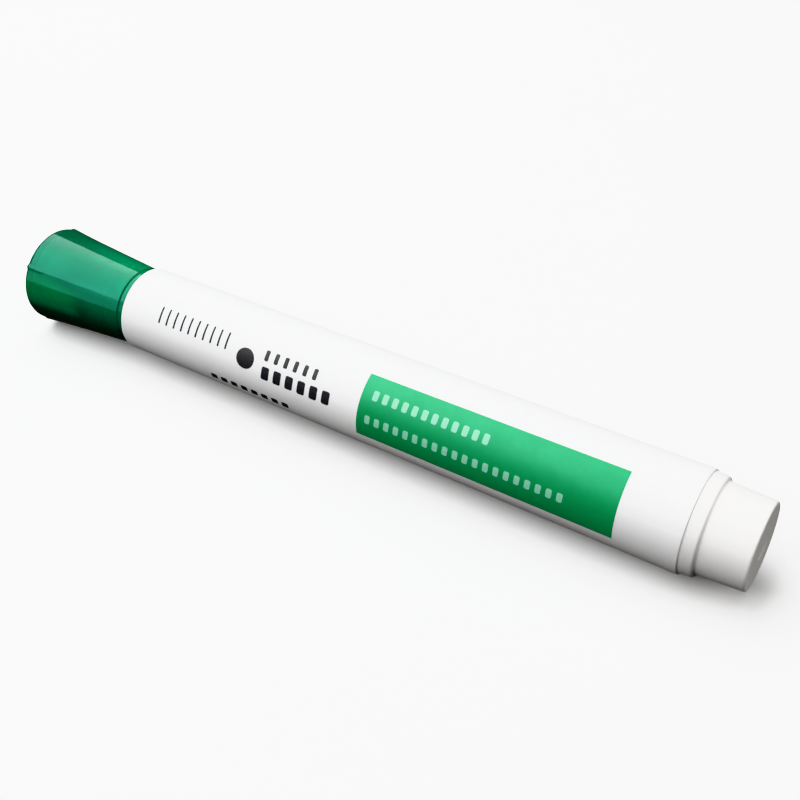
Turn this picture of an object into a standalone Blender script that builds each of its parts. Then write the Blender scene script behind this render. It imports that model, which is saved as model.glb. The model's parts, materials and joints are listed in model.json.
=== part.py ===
"""Whiteboard marker, capped, lying along X with its cap towards -X.

Metres, +Z up. The origin is on the floor under the middle of the marker.
Lengths below are in millimetres. "Station" means distance from the cap's closed end along the axis.
"""
import bpy
import math
from mathutils import Vector

MM = 0.001

# ---- overall -------------------------------------------------------------
LENGTH = 136.15          # closed end of the cap to the end face of the tail plug
SEGMENTS = 72            # facets round each outer wall
HALF_STEP = math.pi / SEGMENTS

# ---- cap -----------------------------------------------------------------
CAP_LENGTH = 22.0
CAP_END_R = 8.60         # body radius at the closed end, between the ridges
CAP_NECK_R = 7.04        # body radius where it stops at the ring groove
CAP_EDGE_R = 0.9         # rounding of the closed end
CAP_GROOVE_X = 20.85
CAP_GROOVE_R = 6.76
CAP_GROOVE_FLOOR = (0.12, 0.34)   # first and last place of the groove's floor, from CAP_GROOVE_X
CAP_LIP_START = 0.44     # where the lip starts, from CAP_GROOVE_X
CAP_LIP_R = 6.92
CAP_LIP_BEVEL = 0.12
CAP_WALL = 1.15
CAP_END_WALL = 1.25
CAP_END_FILLET = 0.3     # inside, where the end wall meets the side wall
CAP_TAPER_END = 17.8     # the tapered inner wall stops here
CAP_BORE_START = 18.6    # the bore that runs over the barrel's seat starts here
CAP_BORE_R = 5.92
CAP_BORE_BEVEL = 0.15
CAP_RINGS = (7.5, 14.2)  # rings along the body
RIDGE_COUNT = 4
RIDGE_HEIGHT = 0.30      # at the closed end
RIDGE_HEIGHT_NECK = 0.12
RIDGE_ANGLE = 142.5      # of the first ridge, from +Y towards +Z
RIDGE_SHAPE = ((-4.0, 0.0), (-2.4, 0.72), (-0.9, 1.0), (0.9, 1.0), (2.4, 0.72), (4.0, 0.0))

# ---- sealing liner inside the cap ----------------------------------------
LINER_START = 1.55
LINER_END = 16.0
LINER_OUTER_R = 5.30
LINER_INNER_R = 4.65
LINER_FLOOR = 0.70
LINER_FLANGE_R = 6.05
LINER_FLANGE_T = 0.90
LINER_EDGE = 0.3         # bevel of the closed end
LINER_MOUTH_BEVEL = 0.2

# ---- barrel --------------------------------------------------------------
NOSE_TIP = 13.4
NOSE_BORE_R = 2.72
NOSE_R = 3.70
NOSE_BEVEL = 0.25
NOSE_ROOT_R = 4.25
NOSE_ROOT_GAP = 0.4      # from the nose's root to the seat
SEAT_START = 16.8
SEAT_R = 5.60
SEAT_LEAD = ((0.0, 0.25), (0.3, 0.05))    # lead-in: place from SEAT_START, and how far below SEAT_R
SEAT_ROOT_RISE = 0.05    # how much the seat widens at the shoulder
SEAT_BORE_R = 4.40
SEAT_WALL = 1.1          # wall behind the seat's front face
NOSE_BORE_OPENS = 0.6    # the nose's bore widens from this far ahead of SEAT_START
BARREL_START = 22.3      # front shoulder, just behind the cap's lip
BARREL_END = 126.5
BARREL_FRONT_R = 7.42
BARREL_REAR_R = 8.25
BARREL_BORE_FRONT_R = 6.25
BARREL_BORE_REAR_R = 7.15
BARREL_BORE_START = 25.4
BARREL_BORE_TAPER = 2.4  # the step down from the main bore to the seat's bore
BARREL_SHOULDER = 0.4    # rounding of the front shoulder
BARREL_RIM = 0.3         # rounding of the rear rim
BARREL_TAPER_GAP = 0.5   # the taper starts this far behind BARREL_START
BARREL_RINGS = (0.34, 0.67)   # rings along the taper, as shares of its length

# ---- printed panel -------------------------------------------------------
LABEL_START = 72.0
LABEL_END = 116.45
LABEL_LOW_FACETS = 15    # barrel facets between the lowest facet and the panel's lower edge
LABEL_FACETS = 16        # barrel facets that the panel covers
LABEL_STAND_OFF = 0.04
LABEL_THICK = 0.12

# ---- nib and ink store ---------------------------------------------------
NIB_TIP = 8.4
NIB_END = 35.4
NIB_R = 2.40
NIB_TIP_SHAPE = ((0.06, 0.55), (0.28, 1.10), (0.75, 1.62), (1.50, 2.00), (2.60, 2.27))
NIB_SHAFT_START = 4.0    # from NIB_TIP
NIB_BACK_TAPER = (3.0, 0.4)   # the taper at the back, measured from NIB_END
NIB_BACK_R = 1.5
CORE_START = 25.0
CORE_END = 115.0
CORE_R = 5.60
CORE_HOLE_R = 2.72
CORE_HOLE_END = 35.9
CORE_BEVEL = 0.3
FILM_INNER_R = 5.75
FILM_OUTER_R = 5.90
FILM_SETBACK = 0.6       # the wrap is this much shorter than the core at each end

# ---- tail plug -----------------------------------------------------------
PLUG_SKIRT_START = 118.0
PLUG_SKIRT_R = 6.75
PLUG_LEAD = (0.5, 0.3)   # length and depth of the skirt's lead-in
FLANGE_START = 126.75
FLANGE_END = 128.6
FLANGE_R = 7.87
FLANGE_EDGE_R = 0.35
TAIL_ROOT_R = 7.24
TAIL_END_R = 6.94
TAIL_EDGE_R = 0.45
TAIL_FILLET = ((0.04, 0.12), (0.2, 0.0))  # place from FLANGE_END, and how far above TAIL_ROOT_R
PLUG_BORE_R = 5.70
PLUG_BORE_FLARE = 0.1    # the bore is this much wider at the skirt and narrower at the end
PLUG_BORE_EDGE = 0.3
PLUG_BORE_END = 134.75

AXIS_Z = CAP_END_R * math.cos(HALF_STEP)   # the cap's lowest facet lies on the floor


def clear_scene():
    """Remove every object that is already in the scene."""
    for old in list(bpy.data.objects):
        bpy.data.objects.remove(old, do_unlink=True)


def make_material(name, colour, roughness, metallic=0.0, alpha=1.0):
    """One Principled material."""
    mat = bpy.data.materials.new(name)
    mat.use_nodes = True
    shader = mat.node_tree.nodes["Principled BSDF"]
    shader.inputs["Base Color"].default_value = (*colour, 1.0)
    shader.inputs["Roughness"].default_value = roughness
    shader.inputs["Metallic"].default_value = metallic
    shader.inputs["Alpha"].default_value = alpha
    mat.diffuse_color = (*colour, alpha)
    return mat


def even_angles(count):
    """Facet edges placed so that one facet faces straight down."""
    step = 2.0 * math.pi / count
    return [math.radians(270.0) + step * (k + 0.5) for k in range(count)]


def ring_point(station, radius, angle):
    """A point of the marker, in metres, in the marker's own frame."""
    return Vector(((station - LENGTH / 2.0) * MM,
                   radius * math.cos(angle) * MM,
                   (AXIS_Z + radius * math.sin(angle)) * MM))


def add_object(name, points, faces, mat, smooth=True):
    """Make the object, with its origin on the marker's axis at the middle of its length."""
    origin = Vector((0.0, 0.0, AXIS_Z * MM))
    mesh = bpy.data.meshes.new(name)
    mesh.from_pydata([tuple(p - origin) for p in points], [], faces)
    mesh.materials.append(mat)
    mesh.validate()
    mesh.polygons.foreach_set("use_smooth", [smooth] * len(mesh.polygons))
    mesh.update()
    obj = bpy.data.objects.new(name, mesh)
    obj.location = origin
    bpy.context.scene.collection.objects.link(obj)
    return obj


def turned(name, profile, mat, angles=None, lift=None, closed=False):
    """A turned body.

    The profile is a list of (station, radius) that runs down the outside from the front to the back,
    then back along the inside. A radius of zero is a point on the axis. With closed, the last point
    joins the first. lift(station, radius, index, angle) may add to a radius.
    """
    if angles is None:
        angles = even_angles(SEGMENTS)
    count = len(angles)
    points = []
    rings = []
    for index, (station, radius) in enumerate(profile):
        if radius <= 0.0:
            rings.append([len(points)])
            points.append(ring_point(station, 0.0, 0.0))
            continue
        ring = []
        for angle in angles:
            extra = lift(station, radius, index, angle) if lift else 0.0
            ring.append(len(points))
            points.append(ring_point(station, radius + extra, angle))
        rings.append(ring)
    faces = []
    pairs = list(zip(rings[:-1], rings[1:]))
    if closed:
        pairs.append((rings[-1], rings[0]))
    for first, second in pairs:
        if len(first) == 1 and len(second) == 1:
            continue
        for k in range(count):
            nxt = (k + 1) % count
            if len(first) == 1:
                faces.append((first[0], second[nxt], second[k]))
            elif len(second) == 1:
                faces.append((first[k], first[nxt], second[0]))
            else:
                faces.append((first[k], first[nxt], second[nxt], second[k]))
    return add_object(name, points, faces, mat)


def arc(centre_x, centre_r, radius, start_deg, end_deg, steps):
    """Points of an edge rounding; 0 degrees points to the tail and 90 degrees points outward."""
    out = []
    for k in range(steps + 1):
        a = math.radians(start_deg + (end_deg - start_deg) * k / steps)
        out.append((centre_x + radius * math.cos(a), centre_r + radius * math.sin(a)))
    return out


def ridge_angles():
    """Even facet edges, with each ridge's own edges in place of those it covers."""
    kept = []
    reach = math.radians(RIDGE_SHAPE[-1][0] + 1.0)
    centres = [math.radians(RIDGE_ANGLE + 360.0 / RIDGE_COUNT * k) for k in range(RIDGE_COUNT)]
    for angle in even_angles(SEGMENTS):
        gaps = [abs(math.remainder(angle - c, 2.0 * math.pi)) for c in centres]
        if min(gaps) > reach:
            kept.append(angle % (2.0 * math.pi))
    for c in centres:
        kept += [(c + math.radians(offset)) % (2.0 * math.pi) for offset, _ in RIDGE_SHAPE]
    return sorted(kept)


def ridge_lift(station, radius, index, angle):
    """How far a ridge stands proud at this place on the cap's outer wall."""
    if index == 0 or index > CAP_OUTER_POINTS:
        return 0.0
    share = station / CAP_GROOVE_X
    height = RIDGE_HEIGHT + (RIDGE_HEIGHT_NECK - RIDGE_HEIGHT) * min(max(share, 0.0), 1.0)
    for k in range(RIDGE_COUNT):
        centre = math.radians(RIDGE_ANGLE + 360.0 / RIDGE_COUNT * k)
        gap = math.degrees(math.remainder(angle - centre, 2.0 * math.pi))
        for offset, part in RIDGE_SHAPE:
            if abs(gap - offset) < 0.01:
                return height * part
    return 0.0


def body_radius(station):
    """Outer radius of the cap's body between its ridges."""
    share = (station - CAP_EDGE_R) / (CAP_GROOVE_X - CAP_EDGE_R)
    return CAP_END_R + (CAP_NECK_R - CAP_END_R) * share


def barrel_radius(station):
    """Outer radius of the barrel's long taper."""
    start = BARREL_START + BARREL_TAPER_GAP
    share = (station - start) / (BARREL_END - BARREL_RIM - start)
    return BARREL_FRONT_R + (BARREL_REAR_R - BARREL_FRONT_R) * share


CAP_EDGE = arc(CAP_EDGE_R, CAP_END_R - CAP_EDGE_R, CAP_EDGE_R, 180.0, 90.0, 5)
CAP_OUTER_POINTS = len(CAP_EDGE) + len(CAP_RINGS) + 1


def build_cap(mat):
    """Translucent cap: flared body with ridges, ring groove and lip, open towards the barrel."""
    inner_end_r = body_radius(CAP_END_WALL) - CAP_WALL
    profile = [(0.0, 0.0)]
    profile += CAP_EDGE
    profile += [(station, body_radius(station)) for station in CAP_RINGS]
    profile += [(CAP_GROOVE_X, CAP_NECK_R)]
    profile += [(CAP_GROOVE_X + place, CAP_GROOVE_R) for place in CAP_GROOVE_FLOOR]
    profile += [(CAP_GROOVE_X + CAP_LIP_START, CAP_LIP_R),
                (CAP_LENGTH - CAP_LIP_BEVEL, CAP_LIP_R),
                (CAP_LENGTH, CAP_LIP_R - CAP_LIP_BEVEL),
                (CAP_LENGTH, CAP_BORE_R + CAP_BORE_BEVEL),
                (CAP_LENGTH - CAP_BORE_BEVEL, CAP_BORE_R),
                (CAP_BORE_START, CAP_BORE_R),
                (CAP_TAPER_END, body_radius(CAP_TAPER_END) - CAP_WALL),
                (CAP_END_WALL + CAP_END_FILLET, inner_end_r),
                (CAP_END_WALL, inner_end_r - CAP_END_FILLET),
                (CAP_END_WALL, 0.0)]
    return turned("cap_shell", profile, mat, angles=ridge_angles(), lift=ridge_lift)


def build_liner(mat):
    """Sealing cup inside the cap, which closes over the nose of the barrel."""
    profile = [(LINER_START, 0.0),
               (LINER_START, LINER_OUTER_R - LINER_EDGE),
               (LINER_START + LINER_EDGE, LINER_OUTER_R),
               (LINER_END - LINER_FLANGE_T, LINER_OUTER_R),
               (LINER_END - LINER_FLANGE_T, LINER_FLANGE_R),
               (LINER_END, LINER_FLANGE_R),
               (LINER_END, LINER_INNER_R + LINER_MOUTH_BEVEL),
               (LINER_END - LINER_MOUTH_BEVEL, LINER_INNER_R),
               (LINER_START + LINER_FLOOR, LINER_INNER_R),
               (LINER_START + LINER_FLOOR, 0.0)]
    return turned("cap_sealing_liner", profile, mat, angles=even_angles(48))


def build_barrel(mat):
    """Tapered tube with the nose and the cap's seat moulded in one with it, open at the tail."""
    shoulder = BARREL_SHOULDER
    rim = BARREL_RIM
    profile = [(NOSE_TIP, NOSE_BORE_R),
               (NOSE_TIP, NOSE_R - NOSE_BEVEL),
               (NOSE_TIP + NOSE_BEVEL, NOSE_R),
               (SEAT_START - NOSE_ROOT_GAP, NOSE_ROOT_R)]
    profile += [(SEAT_START + place, SEAT_R - below) for place, below in SEAT_LEAD]
    profile += [(BARREL_START - shoulder, SEAT_R),
                (BARREL_START, SEAT_R + SEAT_ROOT_RISE)]
    profile += arc(BARREL_START + shoulder, BARREL_FRONT_R - shoulder, shoulder, 180.0, 90.0, 4)
    for share in BARREL_RINGS:
        station = BARREL_START + (BARREL_END - BARREL_START) * share
        profile.append((station, barrel_radius(station)))
    profile += arc(BARREL_END - rim, BARREL_REAR_R - rim, rim, 90.0, 0.0, 3)
    profile += [(BARREL_END, BARREL_BORE_REAR_R),
                (BARREL_BORE_START, BARREL_BORE_FRONT_R),
                (BARREL_BORE_START - BARREL_BORE_TAPER, SEAT_BORE_R),
                (SEAT_START + SEAT_WALL, SEAT_BORE_R),
                (SEAT_START - NOSE_BORE_OPENS, NOSE_BORE_R)]
    return turned("barrel", profile, mat, closed=True)


def build_label(mat):
    """Coloured panel printed on the barrel, as a thin skin that follows the barrel's facets."""
    lower = math.radians(270.0) - HALF_STEP * (1 + 2 * LABEL_LOW_FACETS)
    edges = [lower - 2.0 * HALF_STEP * (LABEL_FACETS - k) for k in range(LABEL_FACETS + 1)]
    stations = [LABEL_START, (LABEL_START + LABEL_END) / 2.0, LABEL_END]
    points = []
    layers = []
    for off in (LABEL_STAND_OFF + LABEL_THICK, LABEL_STAND_OFF):
        layer = []
        for station in stations:
            row = []
            for angle in edges:
                row.append(len(points))
                points.append(ring_point(station, barrel_radius(station) + off, angle))
            layer.append(row)
        layers.append(layer)
    outer, inner = layers
    faces = []
    rows = len(stations)
    cols = len(edges)
    for i in range(rows - 1):
        for j in range(cols - 1):
            faces.append((outer[i][j], outer[i][j + 1], outer[i + 1][j + 1], outer[i + 1][j]))
            faces.append((inner[i][j], inner[i + 1][j], inner[i + 1][j + 1], inner[i][j + 1]))
        faces.append((outer[i][0], outer[i + 1][0], inner[i + 1][0], inner[i][0]))
        faces.append((outer[i + 1][-1], outer[i][-1], inner[i][-1], inner[i + 1][-1]))
    for j in range(cols - 1):
        faces.append((outer[0][j + 1], outer[0][j], inner[0][j], inner[0][j + 1]))
        faces.append((outer[-1][j], outer[-1][j + 1], inner[-1][j + 1], inner[-1][j]))
    return add_object("printed_panel", points, faces, mat)


def build_nib(mat):
    """Round felt nib, which runs back into the ink store."""
    taper_start, taper_end = NIB_BACK_TAPER
    profile = [(NIB_TIP, 0.0)]
    profile += [(NIB_TIP + place, radius) for place, radius in NIB_TIP_SHAPE]
    profile += [(NIB_TIP + NIB_SHAFT_START, NIB_R),
                (NIB_END - taper_start, NIB_R),
                (NIB_END - taper_end, NIB_BACK_R),
                (NIB_END, 0.0)]
    return turned("nib", profile, mat, angles=even_angles(32))


def build_core(mat):
    """Fibre rod that holds the ink, with a blind hole for the back of the nib."""
    profile = [(CORE_START, CORE_HOLE_R),
               (CORE_START, CORE_R - CORE_BEVEL),
               (CORE_START + CORE_BEVEL, CORE_R),
               (CORE_END - CORE_BEVEL, CORE_R),
               (CORE_END, CORE_R - CORE_BEVEL),
               (CORE_END, 0.0)]
    inner = [(CORE_HOLE_END, 0.0), (CORE_HOLE_END, CORE_HOLE_R)]
    return turned("ink_reservoir", profile + inner, mat, angles=even_angles(40), closed=True)


def build_film(mat):
    """Clear wrap round the ink store."""
    start = CORE_START + FILM_SETBACK
    end = CORE_END - FILM_SETBACK
    profile = [(start, FILM_OUTER_R), (end, FILM_OUTER_R), (end, FILM_INNER_R), (start, FILM_INNER_R)]
    return turned("reservoir_wrap", profile, mat, angles=even_angles(40), closed=True)


def build_plug(mat):
    """Tail plug: skirt inside the barrel, flange against its rim and a stepped-down hollow tail."""
    lead_length, lead_depth = PLUG_LEAD
    edge = FLANGE_EDGE_R
    narrow_r = PLUG_BORE_R - PLUG_BORE_FLARE
    profile = [(PLUG_SKIRT_START, PLUG_BORE_R + PLUG_BORE_FLARE),
               (PLUG_SKIRT_START, PLUG_SKIRT_R - lead_depth),
               (PLUG_SKIRT_START + lead_length, PLUG_SKIRT_R),
               (FLANGE_START, PLUG_SKIRT_R)]
    profile += arc(FLANGE_START + edge, FLANGE_R - edge, edge, 180.0, 90.0, 3)
    profile += arc(FLANGE_END - edge, FLANGE_R - edge, edge, 90.0, 0.0, 3)
    profile += [(FLANGE_END + place, TAIL_ROOT_R + above) for place, above in TAIL_FILLET]
    profile += arc(LENGTH - TAIL_EDGE_R, TAIL_END_R - TAIL_EDGE_R, TAIL_EDGE_R, 90.0, 0.0, 4)
    profile += [(LENGTH, 0.0),
                (PLUG_BORE_END, 0.0),
                (PLUG_BORE_END, narrow_r - PLUG_BORE_EDGE),
                (PLUG_BORE_END - PLUG_BORE_EDGE, narrow_r)]
    return turned("tail_plug", profile, mat, closed=True)


def main():
    clear_scene()
    green = make_material("cap_green", (0.010, 0.300, 0.150), 0.22, alpha=0.82)
    liner = make_material("liner_plastic", (0.62, 0.70, 0.66), 0.45)
    white = make_material("barrel_white", (0.86, 0.86, 0.86), 0.38)
    panel = make_material("panel_green", (0.030, 0.520, 0.230), 0.42)
    felt = make_material("nib_felt", (0.020, 0.200, 0.090), 0.92)
    fibre = make_material("reservoir_fibre", (0.060, 0.330, 0.170), 0.95)
    film = make_material("wrap_film", (0.85, 0.88, 0.86), 0.25, alpha=0.5)
    plug = make_material("plug_white", (0.85, 0.85, 0.84), 0.40)
    build_cap(green)
    build_liner(liner)
    build_barrel(white)
    build_label(panel)
    build_nib(felt)
    build_core(fibre)
    build_film(film)
    build_plug(plug)


main()
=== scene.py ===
"""Looks of the whiteboard marker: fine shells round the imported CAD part, materials, light and camera.

Everything is in the part's own frame: metres, +Z up, the marker along X with its cap towards -X.
Sizes below are in millimetres. "Station" means distance from the cap's closed end along the axis.
"Side" angles go round the axis from the side that faces the camera; positive is towards the floor.
"""
import bmesh
import bpy
import json
import math
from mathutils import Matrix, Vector, noise


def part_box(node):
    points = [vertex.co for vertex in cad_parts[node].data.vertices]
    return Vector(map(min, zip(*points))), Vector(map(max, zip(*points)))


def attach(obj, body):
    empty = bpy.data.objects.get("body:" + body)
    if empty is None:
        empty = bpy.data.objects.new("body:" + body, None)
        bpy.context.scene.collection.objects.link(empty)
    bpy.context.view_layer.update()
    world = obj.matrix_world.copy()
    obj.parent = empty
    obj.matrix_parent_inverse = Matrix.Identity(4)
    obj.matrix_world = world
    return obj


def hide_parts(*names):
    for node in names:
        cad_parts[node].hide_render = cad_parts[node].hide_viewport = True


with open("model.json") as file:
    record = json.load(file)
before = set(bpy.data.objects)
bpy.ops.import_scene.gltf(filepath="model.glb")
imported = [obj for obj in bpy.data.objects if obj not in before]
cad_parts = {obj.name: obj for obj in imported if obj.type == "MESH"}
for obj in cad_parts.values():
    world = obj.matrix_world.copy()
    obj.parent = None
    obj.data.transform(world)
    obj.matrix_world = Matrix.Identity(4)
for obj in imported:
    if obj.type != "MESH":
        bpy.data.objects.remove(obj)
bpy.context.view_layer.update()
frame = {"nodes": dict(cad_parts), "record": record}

MM = 0.001

# ---- places taken from the frame ------------------------------------------
MOUNTS = {m["name"]: Vector(m["pos_m"]) for m in frame["record"]["mounts"]}
FRONT = MOUNTS["cap_end_face"]           # middle of the cap's closed end
LENGTH = (MOUNTS["tail_end_face"].x - FRONT.x) / MM
FACET = math.cos(math.pi / 72)           # a CAD ring's reach along Y, as a share of its radius


def station_of(x):
    """Station of an X in the frame."""
    return (x - FRONT.x) / MM


def ends_of(node):
    """First and last station of a CAD node, and its largest radius."""
    low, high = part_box(node)
    return station_of(low.x), station_of(high.x), high.y / MM / FACET


CAP_END = ends_of("cap_shell")[1]
MOUTH_X = FRONT.x + CAP_END * MM         # X of the cap's mouth
NOSE_START, BARREL_END, BARREL_REAR_R = ends_of("barrel")
PANEL_START, PANEL_END, _ = ends_of("printed_panel")
NIB_START, NIB_END, NIB_R = ends_of("nib")
LINER_START, LINER_END, _ = ends_of("cap_sealing_liner")
PLUG_START, _, FLANGE_R = ends_of("tail_plug")

# ---- cap -------------------------------------------------------------------
CAP_END_R = 8.60
CAP_NECK_R = 7.04
CAP_EDGE_R = 0.9
CAP_GROOVE = CAP_END - 1.15
CAP_GROOVE_R = 6.76
CAP_GROOVE_FLOOR = (0.12, 0.34)   # first and last place of the groove's floor, from CAP_GROOVE
CAP_LIP_START = 0.44       # from CAP_GROOVE
CAP_LIP_R = 6.92
CAP_WALL = 1.15
CAP_END_WALL = 1.25
CAP_TAPER_END = 17.8       # the tapered inner wall stops here
CAP_BORE_START = 18.6      # the bore that runs over the barrel's seat starts here
CAP_BORE_R = 5.92
CAP_BORE_BEVEL = 0.15
CAP_GATE_DEPTH = 0.18      # the gate mark in the middle of the closed end
CAP_GATE_FLOOR_R = 0.55
CAP_GATE_R = 0.75
CAP_UNEVENNESS = 0.012     # of the moulded wall
RIDGES = 4
RIDGE_HALF_WIDTH = 4.0     # degrees
RIDGE_HEIGHT = 0.30
RIDGE_HEIGHT_NECK = 0.015
RIDGE_FADE = 5.0           # how quickly a ridge sinks into the wall away from the closed end
FIRST_RIDGE = 142.5        # degrees from +Y towards +Z
RIDGE_OFFSETS = (4.7, 4.2, 4.0, 3.7, 3.2, 2.6, 1.9, 1.2, 0.6)   # degrees beside a ridge's middle
PLAIN_STEPS = 34           # steps round the wall from one ridge to the next

# ---- the cap's colours, with its painted highlights and painted shade, as colours and as the ranges in metres over which each fades in ---
CAP_BODY_DARK = (0.0004, 0.235, 0.088)
CAP_BODY_PALE = (0.0010, 0.385, 0.160)
# painted highlight: the cap's far side near the mouth is painted brighter, as if more light fell there
CAP_PAINTED_FAR_HIGHLIGHT_COLOUR = (0.0010, 0.560, 0.240)      # brighter, on the far side near the mouth
CAP_PAINTED_FAR_HIGHLIGHT_ACROSS = (0.0005, 0.0030)            # Y
CAP_PAINTED_FAR_HIGHLIGHT_LENGTH = (MOUTH_X - 0.014, MOUTH_X - 0.003)
# painted shade: the cap's lower side is painted darker towards the floor
CAP_PAINTED_SHADE_COLOUR = (0.0002, 0.065, 0.028)     # darker, towards the floor
CAP_PAINTED_SHADE_HEIGHT = (0.0080, 0.0120)           # Z
# painted highlight: a lighter patch on the near side, standing in for light refracted through the wall
CAP_PAINTED_NEAR_HIGHLIGHT_COLOUR = (0.0010, 0.500, 0.150)    # brighter, near side, axis height up, away from the mouth
CAP_PAINTED_NEAR_HIGHLIGHT_ACROSS = (-0.0076, -0.0068)        # Y
CAP_PAINTED_NEAR_HIGHLIGHT_HEIGHT = (0.0068, 0.0084)          # Z
CAP_PAINTED_NEAR_HIGHLIGHT_LENGTH = (MOUTH_X - 0.0105, MOUTH_X - 0.0080)

# ---- sealing liner ---------------------------------------------------------
LINER_OUTER_R = 5.30
LINER_FLANGE_R = 6.05
LINER_INNER_R = 4.65
LINER_FLANGE_T = 0.9
LINER_END_WALL = 0.7

# ---- barrel ----------------------------------------------------------------
BARREL_START = CAP_END + 0.3
BARREL_FRONT_R = 7.42
BARREL_TAPER_GAP = 0.5     # the taper starts this far behind BARREL_START
BARREL_RIM = 0.9           # straight length at the rear
NOSE_BORE_R = 2.72
NOSE_R = 3.70
NOSE_ROOT_R = 4.25
NOSE_ROOT_GAP = 0.4        # from the nose's root to the seat
NOSE_BORE_OPENS = 0.6      # the nose's bore widens from this far ahead of SEAT_START
SEAT_START = 16.8
SEAT_R = 5.60
SEAT_LEAD = ((0.0, 0.2, 0.15), (0.3, 0.03, 0.2))   # place, how far below SEAT_R, rounding
SEAT_ROOT_RISE = 0.05      # how much the seat widens at the shoulder
SEAT_WALL = 1.1            # wall behind the seat's front face
BEAD_STATION = 19.0        # middle of the bead that the cap's bore passes over
BEAD_HALF_LENGTH = 0.45
BEAD_HEIGHT = 0.17
BORE_STEP = (23.0, 25.4)   # the main bore steps down to the seat's bore between these stations
BORE_FRONT_R = 6.25
BORE_REAR_R = 7.15
SEAT_BORE_R = 4.40

# ---- tail plug -------------------------------------------------------------
PLUG_GAP = 0.02            # between the barrel's rim and the flange
SKIRT_R = 6.75
SKIRT_BORE_R = 5.80
FLANGE_LENGTH = 2.10       # from BARREL_END to the flange's rear face
FLANGE_FRONT_RISE = 0.13   # the flange is slightly conical, wider than FLANGE_R in front
FLANGE_REAR_DROP = 0.05    # and narrower behind
TAIL_ROOT_GAP = 0.10
TAIL_ROOT_R = 7.24
TAIL_END_R = 6.94
TAIL_GATE_R = 2.10
TAIL_GATE_FLOOR_R = 1.80
TAIL_GATE_DEPTH = 0.12
TAIL_WALL = 1.4
TAIL_BORE_R = 5.60

# ---- nib -------------------------------------------------------------------
NIB_TIP_R = 1.15
NIB_TIP_SHOULDER = (1.5, 2.05)    # place from NIB_START, and radius
NIB_SHAFT_START = 4.0      # from NIB_START
NIB_TAPER = 3.0            # the taper at the back starts this far ahead of NIB_END
NIB_BACK = (0.4, 1.5)      # and stops here, at this radius
NIB_FUZZ = 0.03

# ---- print, as heights above the barrel's skin -----------------------------
PANEL_FILM = (0.004, 0.030)
FRONT_PRINT = (0.004, 0.016)
PANEL_PRINT = (0.032, 0.044)
PRINT_CREASE = 40          # degrees
CORNER_STEPS = 5           # round a bar's corner
PATCH_STEP = 2.0           # mm along and degrees across

# ---- bars that stand for the print: start, end, count, filled share, upper side, lower side, corner
FRONT_UPPER_ROWS = (
    (30.5, 46.5, 10, 0.24, -9.0, 14.0, 0.18),
    (53.0, 64.5, 6, 0.42, -5.0, 9.0, 0.25),
    (53.0, 67.5, 6, 0.62, 16.0, 33.0, 0.35),
)
FRONT_DOT = (47.6, 51.2, 1.5, 28.5, 1.75)    # start, end, upper side, lower side, corner
FRONT_LOWER_ROW = (42.0, 59.0, 8, 0.62, 58.0, 67.0, 0.25)
PANEL_ROWS = (
    (74.0, 95.5, 12, 0.55, -6.0, 6.0, 0.3),
    (73.5, 109.0, 20, 0.55, 25.0, 36.0, 0.3),
)

# ---- camera ----------------------------------------------------------------
VIEW_AZIMUTH = 31.7
VIEW_ELEVATION = 39.27
VIEW_DISTANCE = 198.3      # from the axis point at VIEW_STATION
VIEW_STATION = 75.05
VIEW_SHIFT = (0.342, 0.798)   # aim, to the right of that point and above it
LENS = 54.81
SENSOR_WIDTH = 36.0
CLIP_START = 0.005
CLIP_END = 20.0

# ---- studio, in metres -----------------------------------------------------
FLOOR_HALF = 3.0
FLOOR_CELLS = 12
# name, place, target, width, depth, radiance, colour
LIGHTS = (
    ("key_softbox", (-0.77, -0.28, 1.0), (-0.77, -0.2801, 0.0), 1.40, 2.64, 4.3, (1.0, 1.0, 1.0)),
    ("side_panel", (-1.54, -1.80, 0.57), (-0.06, 0.0, 0.01), 1.40, 1.16, 1.6, (1.0, 1.0, 0.99)),
    ("tail_panel", (1.25, 0.25, 0.50), (0.06, 0.0, 0.01), 0.80, 0.80, 3.0, (1.0, 0.98, 0.95)),
    ("top_panel", (0.36, -0.30, 1.0), (0.36, -0.3001, 0.0), 0.80, 2.40, 0.5, (1.0, 1.0, 1.0)),
    ("front_panel", (-0.35, -1.30, 0.90), (0.0, 0.0, 0.0), 1.20, 0.80, 0.5, (1.0, 1.0, 1.0)),
)
HORIZON_COLOUR = (0.034, 0.029, 0.026, 1.0)
MID_SKY = 0.80             # place on the ramp, where 0.5 is the horizon and 1 straight up
MID_SKY_COLOUR = (0.08, 0.08, 0.08, 1.0)
ZENITH_COLOUR = (0.40, 0.41, 0.42, 1.0)
SEEN_SKY_COLOUR = (0.90, 0.90, 0.90, 1.0)    # what the camera sees past the floor's edge

FACING = 136.14            # the camera's direction round the axis, from +Y towards +Z
PANEL_SIDES = (-23.64, 56.36)


# ============================================================================
# Mesh helpers
# ============================================================================
NEARLY_STRAIGHT = 1.56     # half a corner's angle, in radians, past which it isn't rounded
MOST_OF_A_RUN = 0.46       # the most that one rounding takes of the run beside it
WAVE_RADIUS = 8.0          # about the marker's radius


def ring_point(station, radius, angle):
    """A point round the marker's axis, in metres; the angle is in radians from +Y towards +Z."""
    return Vector((FRONT.x + station * MM,
                   radius * math.cos(angle) * MM,
                   FRONT.z + radius * math.sin(angle) * MM))


def side(degrees):
    """The angle round the axis of a side angle."""
    return math.radians(FACING + degrees)


def even_angles(count):
    """Angles all the way round."""
    return [2.0 * math.pi * k / count for k in range(count)]


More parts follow.
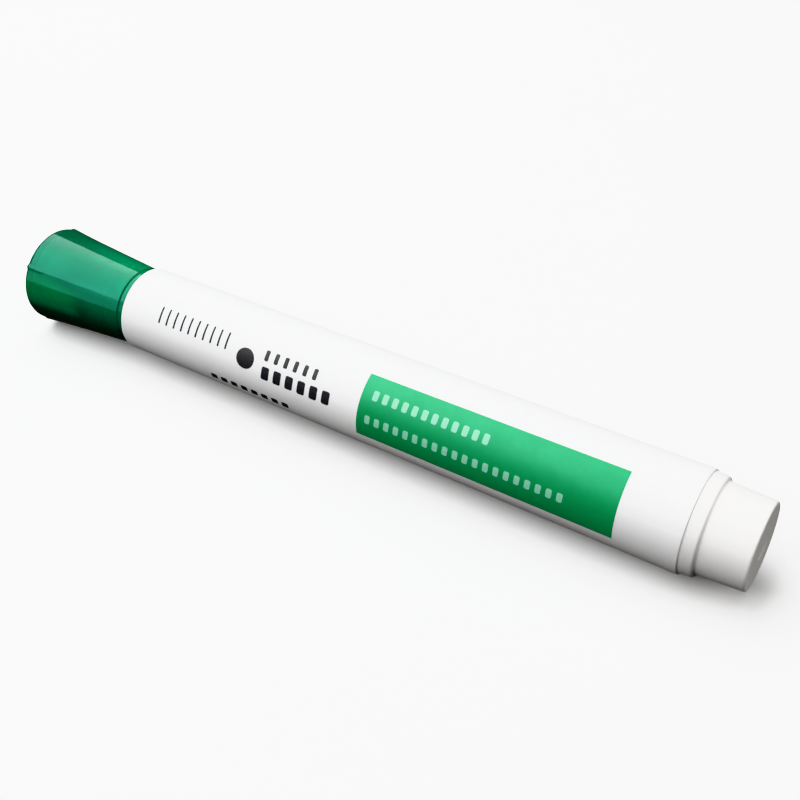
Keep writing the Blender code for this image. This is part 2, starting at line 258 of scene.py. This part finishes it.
def rounded(corners, closed=False, steps=5):
    """A profile with its corners rounded. A corner is (station, radius, rounding)."""
    out = []
    last = len(corners) - 1
    for k, (x, r, rounding) in enumerate(corners):
        here = Vector((x, r))
        if rounding <= 0.0 or (not closed and k in (0, last)):
            out.append(here)
            continue
        before = Vector(corners[k - 1][:2]) - here
        after = Vector(corners[(k + 1) % len(corners)][:2]) - here
        half = before.angle(after) / 2.0
        if half > NEARLY_STRAIGHT:
            out.append(here)
            continue
        most = MOST_OF_A_RUN * min(before.length, after.length)
        reach = min(rounding / math.tan(half), most)
        size = reach * math.tan(half)
        before.normalize()
        after.normalize()
        centre = here + (before + after).normalized() * (size / math.sin(half))
        first = here + before * reach - centre
        second = here + after * reach - centre
        start = math.atan2(first.y, first.x)
        turn = math.remainder(math.atan2(second.y, second.x) - start, 2.0 * math.pi)
        for step in range(steps + 1):
            a = start + turn * step / steps
            out.append(centre + Vector((math.cos(a), math.sin(a))) * size)
    return out


def supported(points, closed=False, near=0.05, longest=2.0):
    """The profile with extra points beside each corner and along each long run, for even shading."""
    out = []
    pairs = list(zip(points[:-1], points[1:]))
    if closed:
        pairs.append((points[-1], points[0]))
    for a, b in pairs:
        out.append(a)
        run = (b - a).length
        if run > 6.0 * near:
            marks = [near / run]
            inner = max(1, math.ceil((run - 2.0 * near) / longest))
            marks += [(near + (run - 2.0 * near) * k / inner) / run for k in range(1, inner)]
            marks.append(1.0 - near / run)
            out += [a.lerp(b, t) for t in marks]
    if not closed:
        out.append(points[-1])
    return out


def finish_mesh(name, points, faces, mat, crease=None):
    """Make the object from its points, with its faces turned outward; crease is a sharp edge's angle."""
    mesh = bpy.data.meshes.new(name)
    mesh.from_pydata([tuple(p) for p in points], [], faces)
    work = bmesh.new()
    work.from_mesh(mesh)
    bmesh.ops.recalc_face_normals(work, faces=work.faces)
    work.to_mesh(mesh)
    work.free()
    mesh.polygons.foreach_set("use_smooth", [True] * len(mesh.polygons))
    if crease:
        mesh.set_sharp_from_angle(angle=math.radians(crease))
    mesh.materials.append(mat)
    mesh.update()
    obj = bpy.data.objects.new(name, mesh)
    bpy.context.scene.collection.objects.link(obj)
    return obj


def turned(name, corners, mat, angles, closed=False, lift=None, steps=5, longest=2.0):
    """A turned body from a rounded profile. lift(station, radius, angle, share) adds to a radius."""
    profile = supported(rounded(corners, closed, steps), closed, longest=longest)
    points = []
    rings = []
    count = len(angles)
    for index, spot in enumerate(profile):
        if spot.y <= 1e-6:
            rings.append([len(points)])
            points.append(ring_point(spot.x, 0.0, 0.0))
            continue
        rings.append(list(range(len(points), len(points) + count)))
        for angle in angles:
            extra = lift(spot.x, spot.y, angle, index / len(profile)) if lift else 0.0
            points.append(ring_point(spot.x, spot.y + extra, angle))
    faces = []
    pairs = list(zip(rings[:-1], rings[1:]))
    if closed:
        pairs.append((rings[-1], rings[0]))
    for first, second in pairs:
        if len(first) == 1 and len(second) == 1:
            continue
        for k in range(count):
            nxt = (k + 1) % count
            if len(first) == 1:
                faces.append((first[0], second[nxt], second[k]))
            elif len(second) == 1:
                faces.append((first[k], first[nxt], second[0]))
            else:
                faces.append((first[k], first[nxt], second[nxt], second[k]))
    return finish_mesh(name, points, faces, mat)


def wave(station, angle, size, seed):
    """Smooth unevenness between -1 and 1 over the marker's skin, with bumps about size long."""
    around = Vector((math.cos(angle), math.sin(angle), 0.0)) * (WAVE_RADIUS / size)
    return noise.noise(Vector((station / size + seed, around.x, around.y + 3.1 * seed)))


# ============================================================================
# Materials
# ============================================================================
class Surface:
    """A Principled material with the few node helpers that the surfaces here share."""

    def __init__(self, name, **sockets):
        self.mat = bpy.data.materials.new(name)
        self.mat.use_nodes = True
        self.tree = self.mat.node_tree
        self.shader = self.tree.nodes["Principled BSDF"]
        for socket, value in sockets.items():
            self.shader.inputs[socket.replace("_", " ")].default_value = value
        self.place = self.tree.nodes.new("ShaderNodeTexCoord").outputs["Object"]

    def join(self, source, target):
        """Link one socket to another."""
        self.tree.links.new(source, target)

    def node(self, kind, **inputs):
        """A node with its inputs set from numbers or linked from sockets."""
        made = self.tree.nodes.new(kind)
        for key, value in inputs.items():
            socket = made.inputs[key.replace("_", " ")]
            if isinstance(value, bpy.types.NodeSocket):
                self.join(value, socket)
            else:
                socket.default_value = value
        return made

    def noise(self, size, detail=3.0, rough=0.55, stretch=(1.0, 1.0, 1.0)):
        """Noise whose bumps are about size millimetres long, stretched along X, Y or Z."""
        scale = tuple(1.0 / s for s in stretch)
        place = self.node("ShaderNodeMapping", Vector=self.place, Scale=scale)
        made = self.node("ShaderNodeTexNoise", Vector=place.outputs["Vector"], Detail=detail,
                         Scale=1.0 / (size * MM), Roughness=rough)
        return made.outputs["Fac"]

    def spread(self, value, low, high, start=0.3, end=0.7):
        """A value mapped to low..high."""
        made = self.node("ShaderNodeMapRange", Value=value)
        for key, number in (("From Min", start), ("From Max", end), ("To Min", low), ("To Max", high)):
            made.inputs[key].default_value = number
        return made.outputs["Result"]

    def sum(self, first, second, weight=1.0):
        """first + second * weight."""
        made = self.node("ShaderNodeMath")
        made.operation = "MULTIPLY_ADD"
        self.join(second, made.inputs[0])
        made.inputs[1].default_value = weight
        self.join(first, made.inputs[2])
        return made.outputs["Value"]

    def product(self, first, second):
        """first * second."""
        made = self.node("ShaderNodeMath")
        made.operation = "MULTIPLY"
        self.join(first, made.inputs[0])
        self.join(second, made.inputs[1])
        return made.outputs["Value"]

    def mix(self, factor, first, second):
        """A colour between two colours or colour sockets."""
        made = self.tree.nodes.new("ShaderNodeMix")
        made.data_type = "RGBA"
        self.join(factor, made.inputs["Factor"])
        for key, value in (("A", first), ("B", second)):
            socket = next(s for s in made.inputs if s.name == key and s.type == "RGBA")
            if isinstance(value, bpy.types.NodeSocket):
                self.join(value, socket)
            else:
                socket.default_value = (*value, 1.0)
        return next(s for s in made.outputs if s.type == "RGBA")

    def along(self, axis="X"):
        """The place along one of the marker's axes, in metres."""
        split = self.node("ShaderNodeSeparateXYZ", Vector=self.place)
        return split.outputs[axis]

    def bump(self, *layers):
        """Bumps in the skin. A layer is (height socket, depth in micrometres)."""
        normal = None
        for height, depth in layers:
            made = self.node("ShaderNodeBump", Height=height)
            made.inputs["Strength"].default_value = 1.0
            made.inputs["Distance"].default_value = depth * 1e-6
            if normal is not None:
                self.join(normal, made.inputs["Normal"])
            normal = made.outputs["Normal"]
        self.join(normal, self.shader.inputs["Normal"])

    def colour(self, socket):
        """Use this socket as the base colour."""
        self.join(socket, self.shader.inputs["Base Color"])

    def roughness(self, socket):
        """Use this socket as the roughness."""
        self.join(socket, self.shader.inputs["Roughness"])


def white_plastic(name, light, shade, rough):
    """Satin white moulded plastic: fine grain, faint handling marks and hairline scuffs."""
    s = Surface(name, IOR=1.49, Subsurface_Weight=0.12, Subsurface_Scale=0.0012,
                Subsurface_Radius=(1.0, 0.85, 0.7))
    patches = s.spread(s.noise(26.0, 2.0), 0.0, 1.0)
    tone = s.mix(patches, light, shade)
    hair = s.spread(s.noise(0.9, 5.0, 0.7, (14.0, 1.0, 1.0)), 0.0, 0.16, 0.66, 0.74)
    s.colour(s.mix(hair, tone, tuple(0.62 * c for c in light)))
    smudge = s.noise(7.0, 4.0, 0.6)
    grain = s.noise(0.16, 2.0, 0.5)
    s.roughness(s.sum(s.spread(smudge, rough - 0.05, rough + 0.07), grain, 0.05))
    s.bump((s.noise(9.0, 1.0), 14.0), (grain, 1.6), (hair, 3.0))
    return s.mat


def cap_plastic():
    """Glossy translucent green, with flow streaks, haze inside and fine scratches, painted highlights on the
    far side near the mouth and on the near side, and painted shade towards the floor.
    """
    s = Surface("cap_green", IOR=1.49, Transmission_Weight=0.74, Specular_IOR_Level=0.85)
    s.shader.inputs["Specular Tint"].default_value = (0.24, 1.0, 0.84, 1.0)
    streaks = s.noise(5.0, 3.0, 0.5, (3.0, 1.0, 1.0))
    body = s.mix(s.spread(streaks, 0.0, 1.0), CAP_BODY_DARK, CAP_BODY_PALE)
    across = s.sum(s.along("Y"), s.noise(3.5, 2.0), 0.0035)
    length = s.sum(s.along("X"), s.noise(2.5, 2.0), 0.003)
    # painted highlight: a brighter green on the far side near the mouth
    painted_far_highlight = s.product(s.spread(across, 0.0, 1.0, *CAP_PAINTED_FAR_HIGHLIGHT_ACROSS),
                    s.spread(length, 0.0, 1.0, *CAP_PAINTED_FAR_HIGHLIGHT_LENGTH))
    body = s.mix(painted_far_highlight, body, CAP_PAINTED_FAR_HIGHLIGHT_COLOUR)
    # painted shade: a darker green towards the floor
    height = s.sum(s.along("Z"), s.noise(4.0, 2.0), 0.003)
    painted_shade = s.spread(height, 1.0, 0.0, *CAP_PAINTED_SHADE_HEIGHT)
    body = s.mix(painted_shade, body, CAP_PAINTED_SHADE_COLOUR)
    # painted highlight: near and inner mask the lighter patch on the near side, standing in for light
    # refracted through the wall
    near = s.product(s.spread(s.along("Y"), 1.0, 0.0, *CAP_PAINTED_NEAR_HIGHLIGHT_ACROSS),
                     s.spread(s.along("Z"), 0.0, 1.0, *CAP_PAINTED_NEAR_HIGHLIGHT_HEIGHT))
    inner = s.product(near, s.spread(length, 1.0, 0.0, *CAP_PAINTED_NEAR_HIGHLIGHT_LENGTH))
    s.colour(s.mix(inner, body, CAP_PAINTED_NEAR_HIGHLIGHT_COLOUR))
    scratch = s.spread(s.noise(0.5, 4.0, 0.7, (1.0, 9.0, 9.0)), 0.0, 1.0, 0.64, 0.74)
    haze = s.spread(s.noise(3.0, 4.0, 0.6), 0.05, 0.11)
    s.roughness(s.sum(haze, scratch, 0.08))
    s.bump((s.noise(4.5, 1.0, 0.5, (1.8, 1.0, 1.0)), 12.0), (scratch, 1.2))
    return s.mat


def liner_plastic():
    """Milky soft plastic."""
    s = Surface("liner_milky", IOR=1.5, Transmission_Weight=0.15, Subsurface_Weight=0.4,
                Subsurface_Scale=0.0015, Subsurface_Radius=(1.0, 1.0, 0.9))
    s.colour(s.mix(s.spread(s.noise(3.0), 0.0, 1.0), (0.62, 0.72, 0.66), (0.54, 0.66, 0.59)))
    s.roughness(s.spread(s.noise(1.2), 0.34, 0.5))
    s.bump((s.noise(0.25), 3.0))
    return s.mat


def panel_ink():
    """Screen-printed green: even ink with faint mottle, with a few pale specks where it is worn."""
    s = Surface("panel_green", IOR=1.6, Specular_IOR_Level=0.95)
    s.shader.inputs["Specular Tint"].default_value = (0.30, 1.0, 0.78, 1.0)
    mottle = s.spread(s.noise(1.6, 5.0, 0.65), 0.0, 1.0)
    tone = s.mix(mottle, (0.0030, 0.222, 0.050), (0.0050, 0.255, 0.062))
    specks = s.spread(s.noise(0.16, 2.0, 0.5), 0.0, 0.30, 0.755, 0.80)
    s.colour(s.mix(specks, tone, (0.30, 0.62, 0.42)))
    s.roughness(s.sum(s.spread(s.noise(4.0, 3.0), 0.47, 0.55), specks, 0.2))
    s.bump((s.noise(0.3, 3.0), 1.4), (s.noise(6.0, 1.0), 8.0))
    return s.mat


def print_ink(name, dark, pale, rough):
    """A thin printed layer with uneven ink."""
    s = Surface(name, IOR=1.5, Specular_IOR_Level=0.4)
    s.colour(s.mix(s.spread(s.noise(0.35, 4.0, 0.7), 0.0, 1.0), dark, pale))
    s.roughness(s.spread(s.noise(1.5), rough, rough + 0.12))
    s.bump((s.noise(0.2), 1.2))
    return s.mat


def felt(name, dark, pale, fibre):
    """Pressed or bundled fibre."""
    s = Surface(name, Specular_IOR_Level=0.2, Sheen_Weight=0.35, Sheen_Roughness=0.5)
    s.shader.inputs["Sheen Tint"].default_value = (*pale, 1.0)
    strands = s.noise(fibre, 5.0, 0.7, (7.0, 1.0, 1.0))
    s.colour(s.mix(s.spread(strands, 0.0, 1.0), dark, pale))
    s.roughness(s.spread(strands, 0.82, 0.98))
    s.bump((strands, 60.0))
    return s.mat


def clear_film():
    """Clear film with a few creases."""
    s = Surface("wrap_film", IOR=1.5, Transmission_Weight=0.85)
    s.colour(s.mix(s.spread(s.noise(5.0), 0.0, 1.0), (0.86, 0.90, 0.87), (0.74, 0.84, 0.78)))
    s.roughness(s.spread(s.noise(2.0), 0.12, 0.24))
    s.bump((s.noise(2.5, 3.0, 0.6, (4.0, 1.0, 1.0)), 25.0))
    return s.mat


def floor_paint():
    """Matt near-white studio floor."""
    s = Surface("studio_floor", Specular_IOR_Level=0.1)
    s.colour(s.mix(s.spread(s.noise(60.0), 0.0, 1.0), (0.93, 0.93, 0.93), (0.95, 0.95, 0.95)))
    s.roughness(s.spread(s.noise(5.0), 0.85, 0.95))
    return s.mat


# ============================================================================
# Pieces
# ============================================================================
def body_radius(station):
    """Outer radius of the cap's body between its ridges."""
    share = (station - CAP_EDGE_R) / (CAP_GROOVE - CAP_EDGE_R)
    return CAP_END_R + (CAP_NECK_R - CAP_END_R) * share


def barrel_radius(station):
    """Outer radius of the barrel's long taper."""
    start = BARREL_START + BARREL_TAPER_GAP
    share = (station - start) / (BARREL_END - BARREL_RIM - start)
    return BARREL_FRONT_R + (BARREL_REAR_R - BARREL_FRONT_R) * share


def ridge_centres():
    """Angles of the grip ridges."""
    return [math.radians(FIRST_RIDGE + 360.0 / RIDGES * k) for k in range(RIDGES)]


def ridge_angles():
    """Angles round the cap, close together at the ridges."""
    offsets = [-o for o in RIDGE_OFFSETS] + [0.0] + list(reversed(RIDGE_OFFSETS))
    out = []
    between = 360.0 / RIDGES - 2.0 * offsets[-1]
    for centre in ridge_centres():
        out += [centre + math.radians(o) for o in offsets]
        out += [centre + math.radians(offsets[-1] + between * k / PLAIN_STEPS)
                for k in range(1, PLAIN_STEPS)]
    return out


def cap_lift(station, radius, angle, share):
    """The ridges and a slight unevenness of the moulding, on the outer wall only."""
    if share > 0.5 or station > CAP_GROOVE + 0.05 or radius < CAP_END_R - CAP_EDGE_R - 0.01:
        return 0.0
    along = min(max(station / CAP_GROOVE, 0.0), 1.0)
    height = RIDGE_HEIGHT_NECK + (RIDGE_HEIGHT - RIDGE_HEIGHT_NECK) * (1.0 - along) ** RIDGE_FADE
    extra = CAP_UNEVENNESS * wave(station, angle, 6.0, 1.7) * min(1.0, station / 2.0)
    for centre in ridge_centres():
        gap = abs(math.degrees(math.remainder(angle - centre, 2.0 * math.pi))) / RIDGE_HALF_WIDTH
        if gap < 1.0:
            extra += height * (1.0 - gap ** 2) ** 2
    return extra


def build_cap(mat):
    """Translucent cap with its ridges, ring groove and lip, and a gate mark on the closed end."""
    inner_end_r = body_radius(CAP_END_WALL) - CAP_WALL
    corners = [(CAP_GATE_DEPTH, 0.0, 0),
               (CAP_GATE_DEPTH, CAP_GATE_FLOOR_R, 0.1),
               (0.0, CAP_GATE_R, 0.1),
               (0.0, body_radius(0.0), CAP_EDGE_R),
               (CAP_GROOVE, CAP_NECK_R, 0.05)]
    corners += [(CAP_GROOVE + place, CAP_GROOVE_R, 0.05) for place in CAP_GROOVE_FLOOR]
    corners += [(CAP_GROOVE + CAP_LIP_START, CAP_LIP_R, 0.06),
                (CAP_END, CAP_LIP_R, 0.12),
                (CAP_END, CAP_BORE_R + CAP_BORE_BEVEL, 0.06),
                (CAP_END - CAP_BORE_BEVEL, CAP_BORE_R, 0.06),
                (CAP_BORE_START, CAP_BORE_R, 0.2),
                (CAP_TAPER_END, body_radius(CAP_TAPER_END) - CAP_WALL, 0.2),
                (CAP_END_WALL, inner_end_r, 0.3),
                (CAP_END_WALL, 0.0, 0)]
    return turned("cap_moulding", corners, mat, ridge_angles(), lift=cap_lift, longest=0.8)


def build_liner(mat):
    """Sealing cup inside the cap."""
    flange_start = LINER_END - LINER_FLANGE_T
    floor = LINER_START + LINER_END_WALL
    corners = [(LINER_START, 0.0, 0),
               (LINER_START, LINER_OUTER_R, 0.3),
               (flange_start, LINER_OUTER_R, 0.15),
               (flange_start, LINER_FLANGE_R, 0.08),
               (LINER_END, LINER_FLANGE_R, 0.08),
               (LINER_END, LINER_INNER_R, 0.2),
               (floor, LINER_INNER_R, 0.3),
               (floor, 0.0, 0)]
    return turned("sealing_cup", corners, mat, even_angles(128))


def build_barrel(mat):
    """Tapered tube with the nose and the cap's seat moulded in one with it."""
    step_front, step_rear = BORE_STEP
    corners = [(NOSE_START, NOSE_BORE_R, 0.08),
               (NOSE_START, NOSE_R, 0.22),
               (SEAT_START - NOSE_ROOT_GAP, NOSE_ROOT_R, 0.2)]
    corners += [(SEAT_START + place, SEAT_R - below, rounding) for place, below, rounding in SEAT_LEAD]
    corners += [(BEAD_STATION - BEAD_HALF_LENGTH, SEAT_R, 0.15),
                (BEAD_STATION, SEAT_R + BEAD_HEIGHT, 0.2),
                (BEAD_STATION + BEAD_HALF_LENGTH, SEAT_R, 0.15),
                (BARREL_START, SEAT_R + SEAT_ROOT_RISE, 0.1),
                (BARREL_START, BARREL_FRONT_R, 0.4),
                (BARREL_START + BARREL_TAPER_GAP, BARREL_FRONT_R, 0),
                (BARREL_END - BARREL_RIM, BARREL_REAR_R, 0),
                (BARREL_END, BARREL_REAR_R, 0.22),
                (BARREL_END, BORE_REAR_R, 0.1),
                (step_rear, BORE_FRONT_R, 0.3),
                (step_front, SEAT_BORE_R, 0.3),
                (SEAT_START + SEAT_WALL, SEAT_BORE_R, 0.3),
                (SEAT_START - NOSE_BORE_OPENS, NOSE_BORE_R, 0.1)]
    return turned("barrel_tube", corners, mat, even_angles(208), closed=True, longest=2.5)


def build_plug(mat):
    """Tail plug: skirt, flange and stepped-down tail with a gate mark on its end."""
    flange_start = BARREL_END + PLUG_GAP
    flange_end = BARREL_END + FLANGE_LENGTH
    corners = [(PLUG_START, SKIRT_BORE_R, 0.1),
               (PLUG_START, SKIRT_R, 0.35),
               (flange_start, SKIRT_R, 0.1),
               (flange_start, FLANGE_R + FLANGE_FRONT_RISE, 0.02),
               (flange_end, FLANGE_R - FLANGE_REAR_DROP, 0.5),
               (flange_end + TAIL_ROOT_GAP, TAIL_ROOT_R, 0.5),
               (LENGTH, TAIL_END_R, 0.38),
               (LENGTH, TAIL_GATE_R, 0.2),
               (LENGTH - TAIL_GATE_DEPTH, TAIL_GATE_FLOOR_R, 0.15),
               (LENGTH - TAIL_GATE_DEPTH, 0.0, 0),
               (LENGTH - TAIL_WALL, 0.0, 0),
               (LENGTH - TAIL_WALL, TAIL_BORE_R, 0.4)]
    return turned("tail_moulding", corners, mat, even_angles(192), closed=True)


def build_nib(mat):
    """Felt nib with a rounded, slightly worn tip."""
    shoulder, shoulder_r = NIB_TIP_SHOULDER
    back, back_r = NIB_BACK
    corners = [(NIB_START, 0.0, 0),
               (NIB_START, NIB_TIP_R, 1.1),
               (NIB_START + shoulder, shoulder_r, 1.4),
               (NIB_START + NIB_SHAFT_START, NIB_R, 6.0),
               (NIB_END - NIB_TAPER, NIB_R, 0.3),
               (NIB_END - back, back_r, 0.3),
               (NIB_END, 0.0, 0)]

    def fuzz(station, radius, angle, share):
        if radius < 0.3 or station > NIB_END - NIB_TAPER:
            return 0.0
        return -NIB_FUZZ + NIB_FUZZ * wave(station, angle, 0.5, 4.2)

    return turned("felt_nib", corners, mat, even_angles(96), lift=fuzz, steps=8, longest=0.35)


def patch(points, faces, span, sides, low, high, corner=0.0):
    """Add a thin curved plate on the barrel between two stations and two side angles.

    low and high are its heights above the barrel's skin, and corner rounds its four corners.
    """
    start, end = span
    middle = (start + end) / 2.0
    radius = barrel_radius(middle)
    half_arc = math.radians(sides[1] - sides[0]) / 2.0 * radius
    centre = (sides[0] + sides[1]) / 2.0
    if corner > 0.0:
        share = corner / (end - start)
        turns = [math.pi / 2.0 * k / CORNER_STEPS for k in range(CORNER_STEPS + 1)]
        marks = [share * (1.0 - math.cos(turn)) for turn in turns]
        marks += [1.0 - m for m in reversed(marks)]
    else:
        parts = max(1, math.ceil((end - start) / PATCH_STEP))
        marks = [k / parts for k in range(parts + 1)]
    across = max(2, math.ceil((sides[1] - sides[0]) / PATCH_STEP))
    first = len(points)
    for height in (low, high):
        for mark in marks:
            station = start + (end - start) * mark
            edge = min(mark, 1.0 - mark) * (end - start)
            reach = half_arc
            if corner > 0.0 and edge < corner:
                reach = half_arc - corner + math.sqrt(max(corner ** 2 - (corner - edge) ** 2, 0.0))
            skin = barrel_radius(station) + height
            for k in range(across + 1):
                turn = math.degrees(reach * (2.0 * k / across - 1.0) / radius)
                points.append(ring_point(station, skin, side(centre + turn)))
    rows, cols = len(marks), across + 1
    layer = rows * cols

    def at(level, i, j):
        return first + level * layer + i * cols + j

    for i in range(rows - 1):
        for j in range(cols - 1):
            faces.append((at(1, i, j), at(1, i, j + 1), at(1, i + 1, j + 1), at(1, i + 1, j)))
            faces.append((at(0, i, j), at(0, i + 1, j), at(0, i + 1, j + 1), at(0, i, j + 1)))
        faces.append((at(1, i, 0), at(1, i + 1, 0), at(0, i + 1, 0), at(0, i, 0)))
        faces.append((at(1, i + 1, cols - 1), at(1, i, cols - 1), at(0, i, cols - 1), at(0, i + 1, cols - 1)))
    for j in range(cols - 1):
        faces.append((at(1, 0, j + 1), at(1, 0, j), at(0, 0, j), at(0, 0, j + 1)))
        faces.append((at(1, rows - 1, j), at(1, rows - 1, j + 1), at(0, rows - 1, j + 1), at(0, rows - 1, j)))


def build_panel(mat):
    """The printed panel, as a film of ink on the barrel's skin."""
    points, faces = [], []
    patch(points, faces, (PANEL_START, PANEL_END), PANEL_SIDES, *PANEL_FILM)
    return finish_mesh("panel_ink_film", points, faces, mat, crease=PRINT_CREASE)


def build_marks(name, marks, mat, low, high):
    """Plain printed bars. A mark is (first station, last station, first side, last side, corner)."""
    points, faces = [], []
    for start, end, upper, lower, corner in marks:
        patch(points, faces, (start, end), (upper, lower), low, high, corner)
    return finish_mesh(name, points, faces, mat, crease=PRINT_CREASE)


def row_of_bars(start, end, count, filled, upper, lower, corner):
    """Evenly spaced bars."""
    pitch = (end - start) / count
    return [(start + pitch * k, start + pitch * (k + filled), upper, lower, corner) for k in range(count)]


def bar_rows(rows):
    """The bars of several rows, one row after the other."""
    return [bar for row in rows for bar in row_of_bars(*row)]


def front_marks():
    """Dark abstract bars and a dot where the maker's print would be."""
    return bar_rows(FRONT_UPPER_ROWS) + [FRONT_DOT] + bar_rows([FRONT_LOWER_ROW])


# ============================================================================
# Studio
# ============================================================================
def build_floor(mat):
    """A large flat floor just under the marker."""
    cells = FLOOR_CELLS
    places = [FLOOR_HALF * (2.0 * k / cells - 1.0) for k in range(cells + 1)]
    points = [Vector((x, y, 0.0)) for x in places for y in places]
    faces = []
    for i in range(cells):
        for j in range(cells):
            a = i * (cells + 1) + j
            faces.append((a, a + cells + 1, a + cells + 2, a + 1))
    floor = finish_mesh("studio_floor", points, faces, mat)
    if floor.data.polygons[0].normal.z < 0.0:
        floor.data.flip_normals()
    floor.visible_diffuse = False
    floor.visible_glossy = False
    floor.visible_transmission = False


def area_light(name, place, target, width, depth, radiance, colour):
    """A rectangular soft light that faces target."""
    data = bpy.data.lights.new(name, "AREA")
    data.shape = "RECTANGLE"
    data.size = width
    data.size_y = depth
    data.energy = radiance * math.pi * width * depth
    data.color = colour
    lamp = bpy.data.objects.new(name, data)
    lamp.location = place
    lamp.rotation_mode = "QUATERNION"
    lamp.rotation_quaternion = (Vector(target) - Vector(place)).to_track_quat("-Z", "Y")
    bpy.context.scene.collection.objects.link(lamp)
    return lamp


def build_lights():
    """Five soft lights, and a dim surround that is brighter overhead.

    The key softbox hangs over the space past the cap, with a dimmer panel above the tail's half. One
    panel stands beside the cap's end, one in front and one past the tail. The surround lights the
    marker with the dim ramp, while the camera sees a pale colour past the floor's edge.
    """
    for light in LIGHTS:
        area_light(*light)
    world = bpy.data.worlds.new("studio_surround")
    bpy.context.scene.world = world
    world.use_nodes = True
    tree = world.node_tree
    back = tree.nodes["Background"]
    split = tree.nodes.new("ShaderNodeSeparateXYZ")
    place = tree.nodes.new("ShaderNodeTexCoord")
    ramp = tree.nodes.new("ShaderNodeValToRGB")
    remap = tree.nodes.new("ShaderNodeMapRange")
    remap.inputs["From Min"].default_value = -1.0
    tree.links.new(place.outputs["Generated"], split.inputs[0])
    tree.links.new(split.outputs["Z"], remap.inputs["Value"])
    tree.links.new(remap.outputs["Result"], ramp.inputs["Fac"])
    ramp.color_ramp.elements[0].position = 0.5
    ramp.color_ramp.elements[0].color = HORIZON_COLOUR
    ramp.color_ramp.elements[1].position = MID_SKY
    ramp.color_ramp.elements[1].color = MID_SKY_COLOUR
    zenith = ramp.color_ramp.elements.new(1.0)
    zenith.color = ZENITH_COLOUR
    path = tree.nodes.new("ShaderNodeLightPath")
    seen = tree.nodes.new("ShaderNodeMix")
    seen.data_type = "RGBA"
    first, second = [s for s in seen.inputs if s.type == "RGBA"]
    second.default_value = SEEN_SKY_COLOUR
    tree.links.new(path.outputs["Is Camera Ray"], seen.inputs["Factor"])
    tree.links.new(ramp.outputs["Color"], first)
    tree.links.new(next(s for s in seen.outputs if s.type == "RGBA"), back.inputs["Color"])
    back.inputs["Strength"].default_value = 1.0


def build_camera():
    """The photograph's viewpoint: past the tail's side and above, looking down at the marker."""
    azimuth = math.radians(VIEW_AZIMUTH)
    elevation = math.radians(VIEW_ELEVATION)
    back = Vector((math.sin(azimuth) * math.cos(elevation),
                   -math.cos(azimuth) * math.cos(elevation),
                   math.sin(elevation)))
    right = Vector((math.cos(azimuth), math.sin(azimuth), 0.0))
    up = back.cross(right)
    pivot = ring_point(VIEW_STATION, 0.0, 0.0)
    aim = pivot + (right * VIEW_SHIFT[0] + up * VIEW_SHIFT[1]) * MM
    data = bpy.data.cameras.new("photo_view")
    data.sensor_width = SENSOR_WIDTH
    data.lens = LENS
    data.clip_start = CLIP_START
    data.clip_end = CLIP_END
    camera = bpy.data.objects.new("photo_view", data)
    camera.location = pivot + back * (VIEW_DISTANCE * MM)
    camera.rotation_mode = "QUATERNION"
    camera.rotation_quaternion = (aim - camera.location).to_track_quat("-Z", "Y")
    bpy.context.scene.collection.objects.link(camera)
    bpy.context.scene.camera = camera


# ============================================================================
# Assembly
# ============================================================================
def place_piece(piece, body, slot, *nodes):
    """Tie a piece to its body and hide the CAD nodes that it stands for. The slot is not used."""
    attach(piece, body)
    if nodes:
        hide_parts(*nodes)


def build_pieces():
    """Every visible piece of the marker."""
    satin = white_plastic("barrel_white", (0.875, 0.877, 0.883), (0.850, 0.850, 0.850), 0.40)
    # painted shade: the tail's white is a slightly darker, warmer copy of the barrel's, for the dimmer,
    # warmer light at the tail
    tail = white_plastic("tail_white_painted_shade", (0.872, 0.868, 0.860), (0.845, 0.838, 0.826), 0.42)
    black = print_ink("print_black", (0.012, 0.012, 0.014), (0.035, 0.035, 0.040), 0.42)
    pale = print_ink("print_pale", (0.21, 0.58, 0.40), (0.29, 0.65, 0.47), 0.40)
    place_piece(build_cap(cap_plastic()), "cap", "cap_shell", "cap_shell")
    place_piece(build_liner(liner_plastic()), "cap", "cap_sealing_liner", "cap_sealing_liner")
    place_piece(build_barrel(satin), "marker_body", "barrel", "barrel")
    place_piece(build_panel(panel_ink()), "marker_body", "printed_panel", "printed_panel")
    place_piece(build_plug(tail), "marker_body", "tail_plug", "tail_plug")
    nib = felt("nib_felt", (0.010, 0.115, 0.050), (0.030, 0.235, 0.110), 0.30)
    place_piece(build_nib(nib), "marker_body", "nib", "nib")
    place_piece(build_marks("front_print", front_marks(), black, *FRONT_PRINT), "marker_body", "barrel")
    panel_print = build_marks("panel_print", bar_rows(PANEL_ROWS), pale, *PANEL_PRINT)
    place_piece(panel_print, "marker_body", "printed_panel")
    fibre = felt("reservoir_fibre", (0.030, 0.230, 0.110), (0.090, 0.400, 0.220), 0.25)
    frame["nodes"]["ink_reservoir"].data.materials[0] = fibre
    frame["nodes"]["reservoir_wrap"].data.materials[0] = clear_film()


build_pieces()
build_floor(floor_paint())
build_lights()
build_camera()
bpy.context.scene.view_settings.view_transform = "Khronos PBR Neutral"
